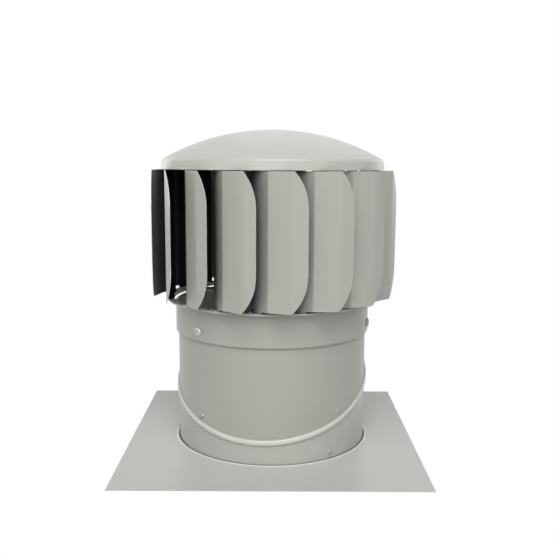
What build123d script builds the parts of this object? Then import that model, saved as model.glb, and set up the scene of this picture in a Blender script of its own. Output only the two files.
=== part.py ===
from build123d import *
import math
import os

# Roof turbine ventilator on a variable-pitch neck. Millimetres, +Z up.
# The origin is the centre of the flashing plate's underside.
# The necks and the rotor share an upright axis, which stands behind the origin. Every piece is
# modelled about that axis as X = Y = 0, and is moved to its place as it is written.
# The neck is cut on a slope and its two halves turn on each other to suit the roof's pitch.
# Azimuths are degrees about +Z, counted from -Y (the low side of the slope, nearly) towards +X.

# ---- sheet and clearances ----
SHEET = 0.8                    # gauge of the necks, collar, bottom ring and dome
ASSEMBLY_GAP = 0.05            # between pieces that are fastened together
SWIVEL_GAP = 0.3               # between the faces that slide at the sloping joint
DRILL = 8.0                    # how far a fastener's hole is cut past its place, each way

# ---- flashing plate ----
PLATE_SIDE = 450.0
PLATE_THICKNESS = 1.0
THROAT_SETBACK = 11.5          # from the plate's centre back to the upright axis
SPIGOT_HEIGHT = 20.0           # collar pressed up from the plate, inside the neck
SPIGOT_MOUTH_RADIUS = 1.5      # bend where the plate turns up

# ---- neck ----
THROAT_RADIUS = 150.0          # inside of both necks
LOWER_NECK_SHORT_SIDE = 31.0   # lower neck's wall at its lowest point
UPPER_NECK_SHORT_SIDE = 55.7   # upper neck's wall at its shortest point
FOOT_LIP = 2.4                 # lower neck's edge turned out on the plate
SWIVEL_TILT = 24.2             # slope of the joint
SWIVEL_AZIMUTH = -6.8          # where the joint is lowest
SWIVEL_LEDGE = 4.0             # from the throat to the round hole in the joint's flanges
BEAD_PROUD = 3.3               # rolled bead on the upper neck, above the joint
BEAD_HEIGHT = 7.0
BEAD_TOP_RADIUS = 3.0
BEAD_BOTTOM_RADIUS = 1.8
SWAGE_STEP = 3.1               # the upper neck's mouth is swaged out under the collar
SWAGE_LENGTH = 40.0
SWAGE_RUN = 3.0

# ---- swivel clips ----
CLIP_THICKNESS = 1.2
CLIP_WIDTH = 14.0
CLIP_LEG = 24.0                # up the upper neck's wall, square to the joint
CLIP_HOOK = 2.9                # reach under the lower flange
CLIP_AZIMUTHS = (-44.1, 41.9, 135.9, 221.9)
CLIP_RIVET_RISE = 16.0         # rivet above the joint, straight up

# ---- collar ----
COLLAR_HEIGHT = 45.6
COLLAR_LIP = 4.0               # turned in over the neck's edge
COLLAR_SCREW_DEPTH = 31.1      # screws below the collar's top
SCREW_AZIMUTHS = (-44.5, 75.5, 195.5)

# ---- fixed bracket and shaft ----
BRACKET_THICKNESS = 3.0
BRACKET_WIDTH = 25.0
BRACKET_HUB_RADIUS = 24.0
BRACKET_DEPTH = 23.5           # bracket's top face below the collar's top
TAB_FOOT_GAP = 1.2             # bracket's tabs stop above the swage
SHAFT_RADIUS = 7.0
JOURNAL_RADIUS = 6.0
THREAD_TAIL = 4.0              # shaft past its nuts
NUT_HEIGHT = 7.0
NUT_ACROSS_FLATS = 18.0
NUT_CHAMFER = 30.0             # degrees, on the corners of every nut
SHAFT_CHAMFER = 1.0
WASHER_THICKNESS = 2.0
WASHER_RADIUS = 10.5
SLEEVE_WALL = 2.8

# ---- bearings, deep groove ----
BEARING_RADIUS = 14.0
BEARING_WIDTH = 8.0
BALL_RADIUS = 2.38
BALL_COUNT = 8
BALL_GAP = 0.05
RACE_RADIAL_DEPTH = 2.3
SHIELD_THICKNESS = 0.3
SHIELD_RECESS = 0.3
SHIELD_GAP = 0.15
CAGE_THICKNESS = 0.7
CAGE_HALF_WIDTH = 3.0

# ---- bearing housings ----
HOUSING_WALL = 3.0
HOUSING_FLANGE_RADIUS = 28.0
HOUSING_FLANGE_THICKNESS = 2.0
HOUSING_SHOULDER = 1.4
SHOULDER_THICKNESS = 2.2
CIRCLIP_THICKNESS = 1.2
CIRCLIP_GROOVE = 0.7
CIRCLIP_REACH = 1.5
CIRCLIP_OPENING = 50.0         # degrees
HOUSING_RIVET_COUNT = 4
HOUSING_RIVET_INSET = 5.2

# ---- rotor: bottom ring, spokes, top disc ----
HEAD_GAP = 4.2                 # collar's top to the rotor's spokes
RING_CLEARANCE = 3.3           # collar to the ring's inner lip
RING_WIDTH = 10.9
RING_OUTER_LIP = 2.8
RING_INNER_LIP = 6.0
SPOKE_COUNT = 4
SPOKE_WIDTH = 20.0
SPOKE_THICKNESS = 2.0
SPOKE_HUB_RADIUS = 32.0
SPOKE_NOTCH_GAP = 0.3
DRUM_HEIGHT = 201.0            # ring's top to the disc's underside
DISC_THICKNESS = 1.0
DISC_RIM_HEIGHT = 6.0

# ---- rotor: blades ----
BLADE_COUNT = 17
BLADE_SHEET = 0.8
BLADE_TIP_REACH = 25.6         # beyond the ring's outer edge
BLADE_CREASE_REACH = 21.5
BLADE_FOLD_REACH = 7.7
BLADE_TIP_AZIMUTH = -6.34      # of the first blade
BLADE_CREASE_LAG = 5.96        # azimuth behind the tip
BLADE_FOLD_LAG = 16.36
BLADE_ROOT_LAG = 25.1
BLADE_BOW = 1.6                # how far the root strip bows from straight
CREASE_BEND_RADIUS = 25.0
FOLD_BEND_RADIUS = 4.0
ROOT_BEND_RADIUS = 60.0
BLADE_FOOT_GAP = 3.3           # outer panel stays above the ring
BLADE_HEAD_GAP = 1.8           # outer panel stays below the disc
BLADE_TOP_CUT = (19.0, 50.0)   # rounded corner: in from the tip edge, and tall
BLADE_BOTTOM_CUT = (22.0, 52.0)
ROOT_CLEARANCE = 1.0           # outer panel's step past the dome's rim and the ring
TAB_WIDTH = 16.0               # round each blade rivet, beside the root strip

# ---- rotor: dome ----
DOME_OVERHANG = 6.7            # beyond the ring's outer edge
DOME_RISE = 61.4
DOME_LIP_DRAFT = 2.0
DOME_CROWN_RADIUS = 346.8
DOME_SHOULDER_RADIUS = 4.5
DOME_HEM = 5.6                 # turned in under the disc's edge

# ---- fasteners ----
RIVET_SHANK = 2.0
RIVET_HEAD = 4.2
RIVET_HEAD_HEIGHT = 1.6
RIVET_TAIL = 3.0
RIVET_TAIL_HEIGHT = 1.4
BLADE_RIVET_SHANK = 1.6
BLADE_RIVET_HEAD = 3.2
BLADE_RIVET_HEIGHT = 1.0       # none on the face that another piece lies on
FOOT_RIVET_AZIMUTHS = (35.8, 155.8, 275.8)
FOOT_RIVET_HEIGHT = 10.3
SCREW_SHANK = 2.0
SCREW_HEAD = 4.4
SCREW_HEAD_HEIGHT = 2.2
SCREW_NUT_FLATS = 7.0
SCREW_NUT_HEIGHT = 3.2
SCREW_POINT = 1.0              # screw past its nut

# ---- levels and radii worked out from the sizes above ----
neck_radius = THROAT_RADIUS + SHEET
slope_rise = neck_radius * math.tan(math.radians(SWIVEL_TILT))
plate_top = PLATE_THICKNESS
joint_height = plate_top + LOWER_NECK_SHORT_SIDE + slope_rise
neck_top = joint_height + slope_rise + UPPER_NECK_SHORT_SIDE
half_gap = SWIVEL_GAP / 2
swivel_radius = THROAT_RADIUS - SWIVEL_LEDGE
JOINT = Pos(0, 0, joint_height) * Rot(0, 0, SWIVEL_AZIMUTH) * Rot(SWIVEL_TILT, 0, 0)

mouth_radius = neck_radius + SWAGE_STEP
collar_inner = mouth_radius + ASSEMBLY_GAP
collar_outer = collar_inner + SHEET
collar_top = neck_top + SHEET
screw_height = collar_top - COLLAR_SCREW_DEPTH
bracket_top = collar_top - BRACKET_DEPTH
bracket_bottom = bracket_top - BRACKET_THICKNESS
bracket_reach = mouth_radius - SHEET - ASSEMBLY_GAP
swage_top = neck_top - SWAGE_LENGTH
tab_foot = swage_top + TAB_FOOT_GAP

spoke_bottom = collar_top + HEAD_GAP
spoke_top = spoke_bottom + SPOKE_THICKNESS
ring_top = spoke_top + SHEET
ring_inner = collar_outer + RING_CLEARANCE
ring_outer = ring_inner + RING_WIDTH
ring_middle = (ring_inner + ring_outer) / 2
disc_bottom = ring_top + DRUM_HEIGHT
disc_top = disc_bottom + DISC_THICKNESS
dome_radius = ring_outer + DOME_OVERHANG
dome_rim = disc_bottom - SHEET
blade_pitch = 360 / BLADE_COUNT
everywhere = 4 * PLATE_SIDE    # side of a block that covers the whole object

ball_circle = (JOURNAL_RADIUS + BEARING_RADIUS) / 2
housing_radius = BEARING_RADIUS + ASSEMBLY_GAP + HOUSING_WALL
shoulder_radius = BEARING_RADIUS - HOUSING_SHOULDER
housing_height = SHOULDER_THICKNESS + BEARING_WIDTH + 2 * CIRCLIP_THICKNESS
housing_rivet_circle = HOUSING_FLANGE_RADIUS - HOUSING_RIVET_INSET
lower_bearing_bottom = spoke_top + SHOULDER_THICKNESS
lower_bearing_top = lower_bearing_bottom + BEARING_WIDTH
upper_bearing_top = disc_bottom - SHOULDER_THICKNESS
upper_bearing_bottom = upper_bearing_top - BEARING_WIDTH
shaft_top = upper_bearing_top + WASHER_THICKNESS + NUT_HEIGHT + THREAD_TAIL
shaft_bottom = bracket_bottom - WASHER_THICKNESS - NUT_HEIGHT - THREAD_TAIL


# ---- shared shapes ----
def turned(points):
    """Solid of revolution about Z from a closed outline of (radius, height) points."""
    return revolve(Plane.XZ * make_face(Polyline(*points, close=True)), axis=Axis.Z)


def tube(inner, outer, low, high):
    """Straight ring on the Z axis."""
    return Pos(0, 0, low) * extrude(Circle(outer) - Circle(inner), high - low)


def rod(radius, low, high):
    """Straight round bar on the Z axis."""
    return Pos(0, 0, low) * extrude(Circle(radius), high - low)


def joint_slab(low, high):
    """Block between two planes parallel to the sloping joint."""
    return JOINT * Pos(0, 0, (low + high) / 2) * Box(everywhere, everywhere, high - low)


def joint_rod(radius, low, high):
    """Round bar square to the sloping joint."""
    return JOINT * rod(radius, low, high)


def outward(azimuth, radius, height):
    """Place at a radius and height, with local +Z pointing away from the axis."""
    return Rot(0, 0, azimuth) * Pos(0, -radius, height) * Rot(90, 0, 0)


def domed_pin(shank, grip, head, head_height, tail, tail_height):
    """Pin along Z: domed head above 0, shank through the grip, tail below it."""
    ball = (head ** 2 + head_height ** 2) / (2 * head_height)
    cap = Pos(0, 0, head_height - ball) * Sphere(ball) & rod(head, 0, head_height)
    pin = cap + rod(shank, -grip, 0)
    if tail_height:
        pin += rod(tail, -grip - tail_height, -grip)
    return pin


def hex_nut(across_flats, height, bore):
    """Hexagon nut standing on Z = 0, with its outer corners turned off."""
    corner = across_flats / math.sqrt(3)
    blank = extrude(RegularPolygon(corner, 6) - Circle(bore), height)
    fall = (corner - across_flats / 2) * math.tan(math.radians(NUT_CHAMFER))
    cone = turned([(0, 0), (corner, 0), (corner, height - fall), (across_flats / 2, height), (0, height)])
    return blank & cone


def group(solids):
    """Separate solids kept together as one node."""
    return Compound(children=list(solids))


def plane_height(azimuth):
    """Height of the joint's plane on the neck's outside at an azimuth."""
    return joint_height - slope_rise * math.cos(math.radians(azimuth - SWIVEL_AZIMUTH))


# ---- base ----
def flashing_plate():
    spigot_outer = THROAT_RADIUS - ASSEMBLY_GAP
    spigot_inner = spigot_outer - SHEET
    outline = Pos(0, -THROAT_SETBACK) * Rectangle(PLATE_SIDE, PLATE_SIDE)
    sheet = extrude(outline - Circle(spigot_inner), PLATE_THICKNESS)
    plate = sheet + tube(spigot_inner, spigot_outer, 0, plate_top + SPIGOT_HEIGHT)
    mouth = plate.edges().filter_by(GeomType.CIRCLE).group_by(Axis.Z)[0]
    plate = fillet(mouth, SPIGOT_MOUTH_RADIUS)
    return plate - foot_rivet_holes()


def foot_rivet_holes():
    height = plate_top + FOOT_RIVET_HEIGHT
    pin = extrude(Circle(RIVET_SHANK + ASSEMBLY_GAP), DRILL, both=True)
    return [outward(azimuth, THROAT_RADIUS, height) * pin for azimuth in FOOT_RIVET_AZIMUTHS]


def lower_neck():
    above = joint_slab(-half_gap, everywhere)
    wall = tube(THROAT_RADIUS, neck_radius, plate_top, neck_top) - above
    flange = rod(neck_radius, plate_top, neck_top) & joint_slab(-half_gap - SHEET, -half_gap)
    flange -= joint_rod(swivel_radius, -SWIVEL_LEDGE, SWIVEL_LEDGE)
    lip = tube(THROAT_RADIUS, neck_radius + FOOT_LIP, plate_top, plate_top + SHEET)
    return wall + flange + lip - foot_rivet_holes()


def foot_rivets():
    """Domed outside and flush inside, so that a duct slides into the spigot."""
    spigot_inner = THROAT_RADIUS - ASSEMBLY_GAP - SHEET
    grip = neck_radius - spigot_inner
    pin = domed_pin(RIVET_SHANK, grip, RIVET_HEAD, RIVET_HEAD_HEIGHT, RIVET_SHANK, SHEET)
    height = plate_top + FOOT_RIVET_HEIGHT
    bore = rod(spigot_inner, 0, joint_height)
    return group(outward(azimuth, neck_radius, height) * pin - bore for azimuth in FOOT_RIVET_AZIMUTHS)


# ---- upper neck and what is fastened to it ----
def upper_neck():
    below = joint_slab(-everywhere, half_gap)
    swage_bottom = swage_top - SWAGE_RUN
    mouth_inner = mouth_radius - SHEET
    wall = turned([
        (THROAT_RADIUS, plate_top),
        (neck_radius, plate_top),
        (neck_radius, swage_bottom),
        (mouth_radius, swage_top),
        (mouth_radius, neck_top),
        (mouth_inner, neck_top),
        (mouth_inner, swage_top),
        (THROAT_RADIUS, swage_bottom),
    ]) - below
    band = joint_slab(half_gap, half_gap + BEAD_HEIGHT)
    bead = rod(neck_radius + BEAD_PROUD, 0, neck_top) & band
    rims = bead.edges().sort_by(SortBy.LENGTH)[-2:].sort_by(Axis.Z)
    bead = fillet(rims[-1], BEAD_TOP_RADIUS)
    rims = bead.edges().sort_by(Axis.Z)
    bead = fillet(rims[0], BEAD_BOTTOM_RADIUS)
    bead -= rod(THROAT_RADIUS, 0, neck_top)
    groove = joint_slab(half_gap + SHEET, half_gap + BEAD_HEIGHT - SHEET)
    bead -= rod(neck_radius + BEAD_PROUD - SHEET, 0, neck_top) & groove
    wall -= rod(neck_radius, 0, neck_top) & groove
    flange = rod(neck_radius, 0, neck_top) & joint_slab(half_gap, half_gap + SHEET)
    flange -= joint_rod(swivel_radius, -SWIVEL_LEDGE, SWIVEL_LEDGE)
    neck = wall + bead + flange
    for azimuth in CLIP_AZIMUTHS:
        neck -= clip_rivet_place(azimuth) * extrude(Circle(RIVET_SHANK + ASSEMBLY_GAP), DRILL, both=True)
    return neck - collar_screw_holes()


def clip_rivet_place(azimuth):
    return outward(azimuth, neck_radius, plane_height(azimuth) + CLIP_RIVET_RISE)


def swivel_clips():
    """Bent clips riveted inside the upper neck, hooked under the lower neck's flange."""
    seat = half_gap + SHEET + ASSEMBLY_GAP
    hook_top = -half_gap - SHEET - SWIVEL_GAP
    hook_bottom = hook_top - CLIP_THICKNESS
    shank_outer = swivel_radius - SWIVEL_GAP
    shank_inner = shank_outer - CLIP_THICKNESS
    hook_reach = shank_outer + CLIP_HOOK
    wall_inner = THROAT_RADIUS - ASSEMBLY_GAP
    foot = JOINT * turned([
        (shank_inner, hook_bottom),
        (hook_reach, hook_bottom),
        (hook_reach, hook_top),
        (shank_outer, hook_top),
        (shank_outer, seat),
        (2 * THROAT_RADIUS, seat),
        (2 * THROAT_RADIUS, seat + CLIP_THICKNESS),
        (shank_inner, seat + CLIP_THICKNESS),
    ])
    foot &= rod(wall_inner, 0, neck_top)
    leg = tube(wall_inner - CLIP_THICKNESS, wall_inner, plate_top, neck_top)
    leg &= joint_slab(seat, seat + CLIP_LEG)
    strip = Pos(0, -THROAT_RADIUS, neck_top / 2) * Box(CLIP_WIDTH, THROAT_RADIUS, neck_top)
    clips = []
    for azimuth in CLIP_AZIMUTHS:
        clip = (foot + leg) & (Rot(0, 0, azimuth) * strip)
        hole = extrude(Circle(RIVET_SHANK + ASSEMBLY_GAP), DRILL, both=True)
        clips.append(clip - clip_rivet_place(azimuth) * hole)
    return group(clips)


def clip_rivets():
    grip = neck_radius - THROAT_RADIUS + CLIP_THICKNESS + 2 * ASSEMBLY_GAP
    pin = domed_pin(RIVET_SHANK, grip, RIVET_HEAD, RIVET_HEAD_HEIGHT, RIVET_TAIL, RIVET_TAIL_HEIGHT)
    return group(clip_rivet_place(azimuth) * pin for azimuth in CLIP_AZIMUTHS)


def collar():
    ring = turned([
        (collar_inner, collar_top - COLLAR_HEIGHT),
        (collar_outer, collar_top - COLLAR_HEIGHT),
        (collar_outer, collar_top),
        (collar_outer - COLLAR_LIP, collar_top),
        (collar_outer - COLLAR_LIP, neck_top),
        (collar_inner, neck_top),
    ])
    return ring - collar_screw_holes()


def collar_screw_holes():
    length = collar_outer - bracket_reach + BRACKET_THICKNESS + SHEET
    hole = extrude(Circle(SCREW_SHANK + ASSEMBLY_GAP), length, both=True)
    return [outward(azimuth, collar_outer, screw_height) * hole for azimuth in SCREW_AZIMUTHS]


def collar_screws():
    grip = collar_outer - bracket_reach + BRACKET_THICKNESS
    below = SCREW_NUT_HEIGHT + SCREW_POINT
    screw = domed_pin(SCREW_SHANK, grip, SCREW_HEAD, SCREW_HEAD_HEIGHT, SCREW_SHANK, below)
    return group(outward(azimuth, collar_outer, screw_height) * screw for azimuth in SCREW_AZIMUTHS)


def collar_nuts():
    seat = bracket_reach - BRACKET_THICKNESS
    nut = hex_nut(SCREW_NUT_FLATS, SCREW_NUT_HEIGHT, SCREW_SHANK + ASSEMBLY_GAP)
    turned_in = Rot(180, 0, 0) * nut
    return group(outward(azimuth, seat, screw_height) * turned_in for azimuth in SCREW_AZIMUTHS)


def shaft_bracket():
    """Three flat arms from a hub, their ends bent down against the neck's mouth."""
    bracket = rod(BRACKET_HUB_RADIUS, bracket_bottom, bracket_top)
    for azimuth in SCREW_AZIMUTHS:
        middle = (bracket_top + bracket_bottom) / 2
        arm = Pos(0, -bracket_reach / 2, middle) * Box(BRACKET_WIDTH, bracket_reach, BRACKET_THICKNESS)
        drop = Pos(0, -bracket_reach + BRACKET_THICKNESS / 2, (bracket_top + tab_foot) / 2)
        tab = drop * Box(BRACKET_WIDTH, BRACKET_THICKNESS, bracket_top - tab_foot)
        bracket += Rot(0, 0, azimuth) * (arm + tab)
    bracket &= rod(bracket_reach, 0, neck_top)
    bracket -= rod(JOURNAL_RADIUS + ASSEMBLY_GAP, bracket_bottom, bracket_top)
    return bracket - collar_screw_holes()


# ---- shaft ----
def shaft():
    blank = turned([
        (0, shaft_bottom),
        (JOURNAL_RADIUS, shaft_bottom),
        (JOURNAL_RADIUS, lower_bearing_top),
        (SHAFT_RADIUS, lower_bearing_top),
        (SHAFT_RADIUS, upper_bearing_bottom),
        (JOURNAL_RADIUS, upper_bearing_bottom),
        (JOURNAL_RADIUS, shaft_top),
        (0, shaft_top),
    ])
    ends = blank.edges().filter_by(GeomType.CIRCLE).sort_by(Axis.Z)
    return chamfer([ends[0], ends[-1]], SHAFT_CHAMFER)


def shaft_sleeve():
    inner = JOURNAL_RADIUS + ASSEMBLY_GAP
    return tube(inner, inner + SLEEVE_WALL, bracket_top + NUT_HEIGHT, lower_bearing_bottom)


def shaft_washers():
    inner = JOURNAL_RADIUS + ASSEMBLY_GAP
    low = tube(inner, WASHER_RADIUS, bracket_bottom - WASHER_THICKNESS, bracket_bottom)
    high = tube(inner, WASHER_RADIUS, upper_bearing_top, upper_bearing_top + WASHER_THICKNESS)
    return group([low, high])


def shaft_nuts():
    nut = hex_nut(NUT_ACROSS_FLATS, NUT_HEIGHT, JOURNAL_RADIUS + ASSEMBLY_GAP)
    under = Pos(0, 0, bracket_bottom - WASHER_THICKNESS) * Rot(180, 0, 0) * nut
    over = Pos(0, 0, bracket_top) * nut
    crown = Pos(0, 0, upper_bearing_top + WASHER_THICKNESS) * nut
    return group([under, over, crown])


# ---- bearings ----
def ball_track():
    return Torus(ball_circle, BALL_RADIUS + BALL_GAP)


def inner_race(level):
    low, high = -BEARING_WIDTH / 2, BEARING_WIDTH / 2
    bore = JOURNAL_RADIUS + ASSEMBLY_GAP
    ring = tube(bore, JOURNAL_RADIUS + RACE_RADIAL_DEPTH, low, high)
    return Pos(0, 0, level + high) * (ring - ball_track())


def outer_race(level):
    low, high = -BEARING_WIDTH / 2, BEARING_WIDTH / 2
    ring = tube(BEARING_RADIUS - RACE_RADIAL_DEPTH, BEARING_RADIUS, low, high)
    return Pos(0, 0, level + high) * (ring - ball_track())


def ball_places(level):
    middle = level + BEARING_WIDTH / 2
    step = 360 / BALL_COUNT
    return [Rot(0, 0, step * i) * Pos(ball_circle, 0, middle) for i in range(BALL_COUNT)]


def bearing_balls(level):
    return group(place * Sphere(BALL_RADIUS) for place in ball_places(level))


def bearing_cage(level):
    middle = level + BEARING_WIDTH / 2
    half = CAGE_THICKNESS / 2
    ring = tube(ball_circle - half, ball_circle + half, middle - CAGE_HALF_WIDTH, middle + CAGE_HALF_WIDTH)
    pocket = Rot(0, 90, 0) * Cylinder(BALL_RADIUS + BALL_GAP, 2 * BALL_RADIUS)
    return ring - [place * pocket for place in ball_places(level)]


def bearing_shields(level):
    inner = JOURNAL_RADIUS + RACE_RADIAL_DEPTH + SHIELD_GAP
    outer = BEARING_RADIUS - RACE_RADIAL_DEPTH - ASSEMBLY_GAP
    high = level + BEARING_WIDTH - SHIELD_RECESS
    low = level + SHIELD_RECESS
    return group([
        tube(inner, outer, low, low + SHIELD_THICKNESS),
        tube(inner, outer, high - SHIELD_THICKNESS, high),
    ])


# ---- bearing housings ----
def housing():
    """Flanged cup on Z = 0, flange down: shoulder first, then the bearing and its circlip."""
    bore = BEARING_RADIUS + ASSEMBLY_GAP
    clip_low = SHOULDER_THICKNESS + BEARING_WIDTH
    clip_high = clip_low + CIRCLIP_THICKNESS + ASSEMBLY_GAP
    cup = turned([
        (shoulder_radius, 0),
        (HOUSING_FLANGE_RADIUS, 0),
        (HOUSING_FLANGE_RADIUS, HOUSING_FLANGE_THICKNESS),
        (housing_radius, HOUSING_FLANGE_THICKNESS),
        (housing_radius, housing_height),
        (bore, housing_height),
        (bore, clip_high),
        (bore + CIRCLIP_GROOVE, clip_high),
        (bore + CIRCLIP_GROOVE, clip_low),
        (bore, clip_low),
        (bore, SHOULDER_THICKNESS),
        (shoulder_radius, SHOULDER_THICKNESS),
    ])
    return cup - housing_rivet_holes()


def housing_rivet_azimuths():
    step = 360 / HOUSING_RIVET_COUNT
    return [spoke_azimuths()[0] + step * i for i in range(HOUSING_RIVET_COUNT)]


def housing_rivet_holes():
    hole = rod(RIVET_SHANK + ASSEMBLY_GAP, -DRILL, DRILL)
    azimuths = housing_rivet_azimuths()
    return [Rot(0, 0, a) * Pos(0, -housing_rivet_circle, 0) * hole for a in azimuths]


def housing_rivets(grip):
    pin = domed_pin(RIVET_SHANK, grip, RIVET_HEAD, RIVET_HEAD_HEIGHT, RIVET_TAIL, RIVET_TAIL_HEIGHT)
    azimuths = housing_rivet_azimuths()
    return group(Rot(0, 0, a) * Pos(0, -housing_rivet_circle, 0) * pin for a in azimuths)


def circlip():
    """Spring ring with an opening and two lugs, lying on Z = 0."""
    outer = BEARING_RADIUS + CIRCLIP_GROOVE
    inner = BEARING_RADIUS - CIRCLIP_REACH
    ring = tube(inner, outer, 0, CIRCLIP_THICKNESS)
    half = math.radians(CIRCLIP_OPENING / 2)
    far = 2 * BEARING_RADIUS
    corners = [(0, 0), (-far * math.sin(half), -far * math.cos(half)), (far * math.sin(half), -far * math.cos(half))]
    return ring - extrude(make_face(Polyline(*corners, close=True)), CIRCLIP_THICKNESS)


def upside_down(level):
    return Pos(0, 0, level) * Rot(180, 0, 0)


# ---- rotor frame ----
def spoke_azimuths():
    """Even spokes, turned so that their rivets fall between the blades' rivets."""
    first = tab_azimuth() + blade_pitch / (2 * SPOKE_COUNT)
    return [first + 360 / SPOKE_COUNT * i for i in range(SPOKE_COUNT)]


def spoke_bar(extra):
    """One spoke, pointing to -Y, made larger by a clearance on every side."""
    length = ring_outer - SHEET - ASSEMBLY_GAP
    width = SPOKE_WIDTH + 2 * extra
    low = spoke_bottom - extra
    bar = Pos(0, -length / 2, (low + spoke_top) / 2) * Box(width, length, spoke_top - low)
    return bar & rod(length, low, spoke_top)


def rotor_spokes():
    frame = rod(SPOKE_HUB_RADIUS, spoke_bottom, spoke_top)
    for azimuth in spoke_azimuths():
        frame += Rot(0, 0, azimuth) * spoke_bar(0)
    frame -= rod(shoulder_radius, spoke_bottom, spoke_top)
    frame -= [Pos(0, 0, spoke_top) * hole for hole in housing_rivet_holes()]
    return frame - spoke_rivet_holes()


def spoke_rivet_places():
    return [Rot(0, 0, a) * Pos(0, -ring_middle, spoke_bottom) for a in spoke_azimuths()]


def spoke_rivet_holes():
    hole = rod(BLADE_RIVET_SHANK + ASSEMBLY_GAP, -SHEET, spoke_top - spoke_bottom + 2 * SHEET)
    return [place * hole for place in spoke_rivet_places()]


def spoke_rivets():
    """Head under the spoke, flush on the ring's top, where the blades' tabs lie."""
    grip = SHEET + SPOKE_THICKNESS
    pin = domed_pin(BLADE_RIVET_SHANK, grip, BLADE_RIVET_HEAD, BLADE_RIVET_HEIGHT, 0, 0)
    return group(place * Rot(180, 0, 0) * pin for place in spoke_rivet_places())


def bottom_ring():
    ring = turned([
        (ring_inner, ring_top - RING_INNER_LIP),
        (ring_inner + SHEET, ring_top - RING_INNER_LIP),
        (ring_inner + SHEET, spoke_top),
        (ring_outer - SHEET, spoke_top),
        (ring_outer - SHEET, ring_top - RING_OUTER_LIP),
        (ring_outer, ring_top - RING_OUTER_LIP),
        (ring_outer, ring_top),
        (ring_inner, ring_top),
    ])
    for azimuth in spoke_azimuths():
        notch = Pos(0, 0, -RING_INNER_LIP) * spoke_bar(SPOKE_NOTCH_GAP) + spoke_bar(SPOKE_NOTCH_GAP)
        ring -= (Rot(0, 0, azimuth) * notch) & rod(ring_inner + SHEET, 0, spoke_top)
    ring -= spoke_rivet_holes()
    return ring - blade_rivet_holes(ring_top)


def top_disc():
    dome_bore = dome_radius - SHEET - DOME_LIP_DRAFT
    rim = dome_bore - ASSEMBLY_GAP
    disc = turned([
        (shoulder_radius, disc_bottom),
        (rim, disc_bottom),
        (rim, disc_bottom + DISC_RIM_HEIGHT),
        (rim - DISC_THICKNESS, disc_bottom + DISC_RIM_HEIGHT),
        (rim - DISC_THICKNESS, disc_top),
        (shoulder_radius, disc_top),
    ])
    disc -= [upside_down(disc_bottom) * hole for hole in housing_rivet_holes()]
    return disc - blade_rivet_holes(disc_bottom)


# ---- blades ----
def polar(radius, azimuth):
    angle = math.radians(azimuth)
    return Vector(radius * math.sin(angle), -radius * math.cos(angle))


blade_tip = polar(ring_outer + BLADE_TIP_REACH, BLADE_TIP_AZIMUTH)
blade_crease = polar(ring_outer + BLADE_CREASE_REACH, BLADE_TIP_AZIMUTH - BLADE_CREASE_LAG)
blade_fold = polar(ring_outer + BLADE_FOLD_REACH, BLADE_TIP_AZIMUTH - BLADE_FOLD_LAG)
blade_root = polar(ring_inner + BLADE_SHEET, BLADE_TIP_AZIMUTH - BLADE_ROOT_LAG)
root_along = (blade_root - blade_fold).normalized()
root_aside = Vector(root_along.Y, -root_along.X)


def blade_section():
    """Bent strip seen from above: tip panel, outer panel, then the bowed root strip."""
    bow = (blade_fold + blade_root) / 2 - root_aside * BLADE_BOW
    corners = [blade_tip, blade_crease, blade_fold, bow, blade_root]
    radii = [CREASE_BEND_RADIUS, FOLD_BEND_RADIUS, ROOT_BEND_RADIUS]
    centre_line = FilletPolyline(*corners, radius=radii)
    return make_face(offset(centre_line, BLADE_SHEET / 2, kind=Kind.TANGENT, side=Side.BOTH).edges())


def corner_cut(size, edge_height, direction):
    """Block that rounds one corner of the tip edge, with an arc tangent to that edge."""
    inset, tall = size
    sweep = 2 * math.atan2(inset, tall)
    radius = tall / math.sin(sweep)
    middle = (radius * (1 - math.cos(sweep / 2)), tall - radius * math.sin(sweep / 2))
    spare = DRILL
    edges = [
        ThreePointArc((inset, 0), middle, (0, tall)),
        Line((0, tall), (-spare, tall)),
        Line((-spare, tall), (-spare, -spare)),
        Line((-spare, -spare), (inset, -spare)),
        Line((inset, -spare), (inset, 0)),
    ]
    along = (blade_crease - blade_tip).normalized()
    origin = Vector(blade_tip.X, blade_tip.Y, edge_height)
    plane = Plane(origin, x_dir=along, z_dir=Vector(along.Y, -along.X, 0) * direction)
    return plane * extrude(make_face(edges), BLADE_TOP_CUT[0], both=True)


def tab_azimuth():
    """Azimuth of a blade's tab: beside its root strip, half way across the ring."""
    span = blade_fold.length - blade_root.length
    share = (ring_middle - blade_root.length) / span
    crossing = blade_root + (blade_fold - blade_root) * share
    beside = math.degrees(TAB_WIDTH / 2 / ring_middle)
    return math.degrees(math.atan2(crossing.X, -crossing.Y)) - beside


def tab_place(level):
    return Rot(0, 0, tab_azimuth()) * Pos(0, -ring_middle, level)


def blade():
    outer_low = ring_top + BLADE_FOOT_GAP
    outer_high = disc_bottom - BLADE_HEAD_GAP
    strip = Pos(0, 0, ring_top) * extrude(blade_section(), DRUM_HEIGHT)
    strip -= tube(dome_radius - DOME_HEM - ROOT_CLEARANCE, 2 * dome_radius, outer_high, disc_top)
    strip -= tube(ring_outer + ROOT_CLEARANCE, 2 * dome_radius, ring_top, outer_low)
    strip -= corner_cut(BLADE_TOP_CUT, outer_high, -1)
    strip -= corner_cut(BLADE_BOTTOM_CUT, outer_low, 1)
    tab = Box(TAB_WIDTH, ring_outer - ring_inner, BLADE_SHEET)
    low_tab = tab_place(ring_top + BLADE_SHEET / 2) * tab
    high_tab = tab_place(disc_bottom - BLADE_SHEET / 2) * tab
    reach = tube(ring_inner + BLADE_SHEET, ring_outer, 0, disc_top)
    strip += (low_tab & reach) + (high_tab & reach)
    hole = rod(BLADE_RIVET_SHANK + ASSEMBLY_GAP, 0, disc_top - spoke_bottom)
    return strip - tab_place(spoke_bottom) * hole


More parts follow.
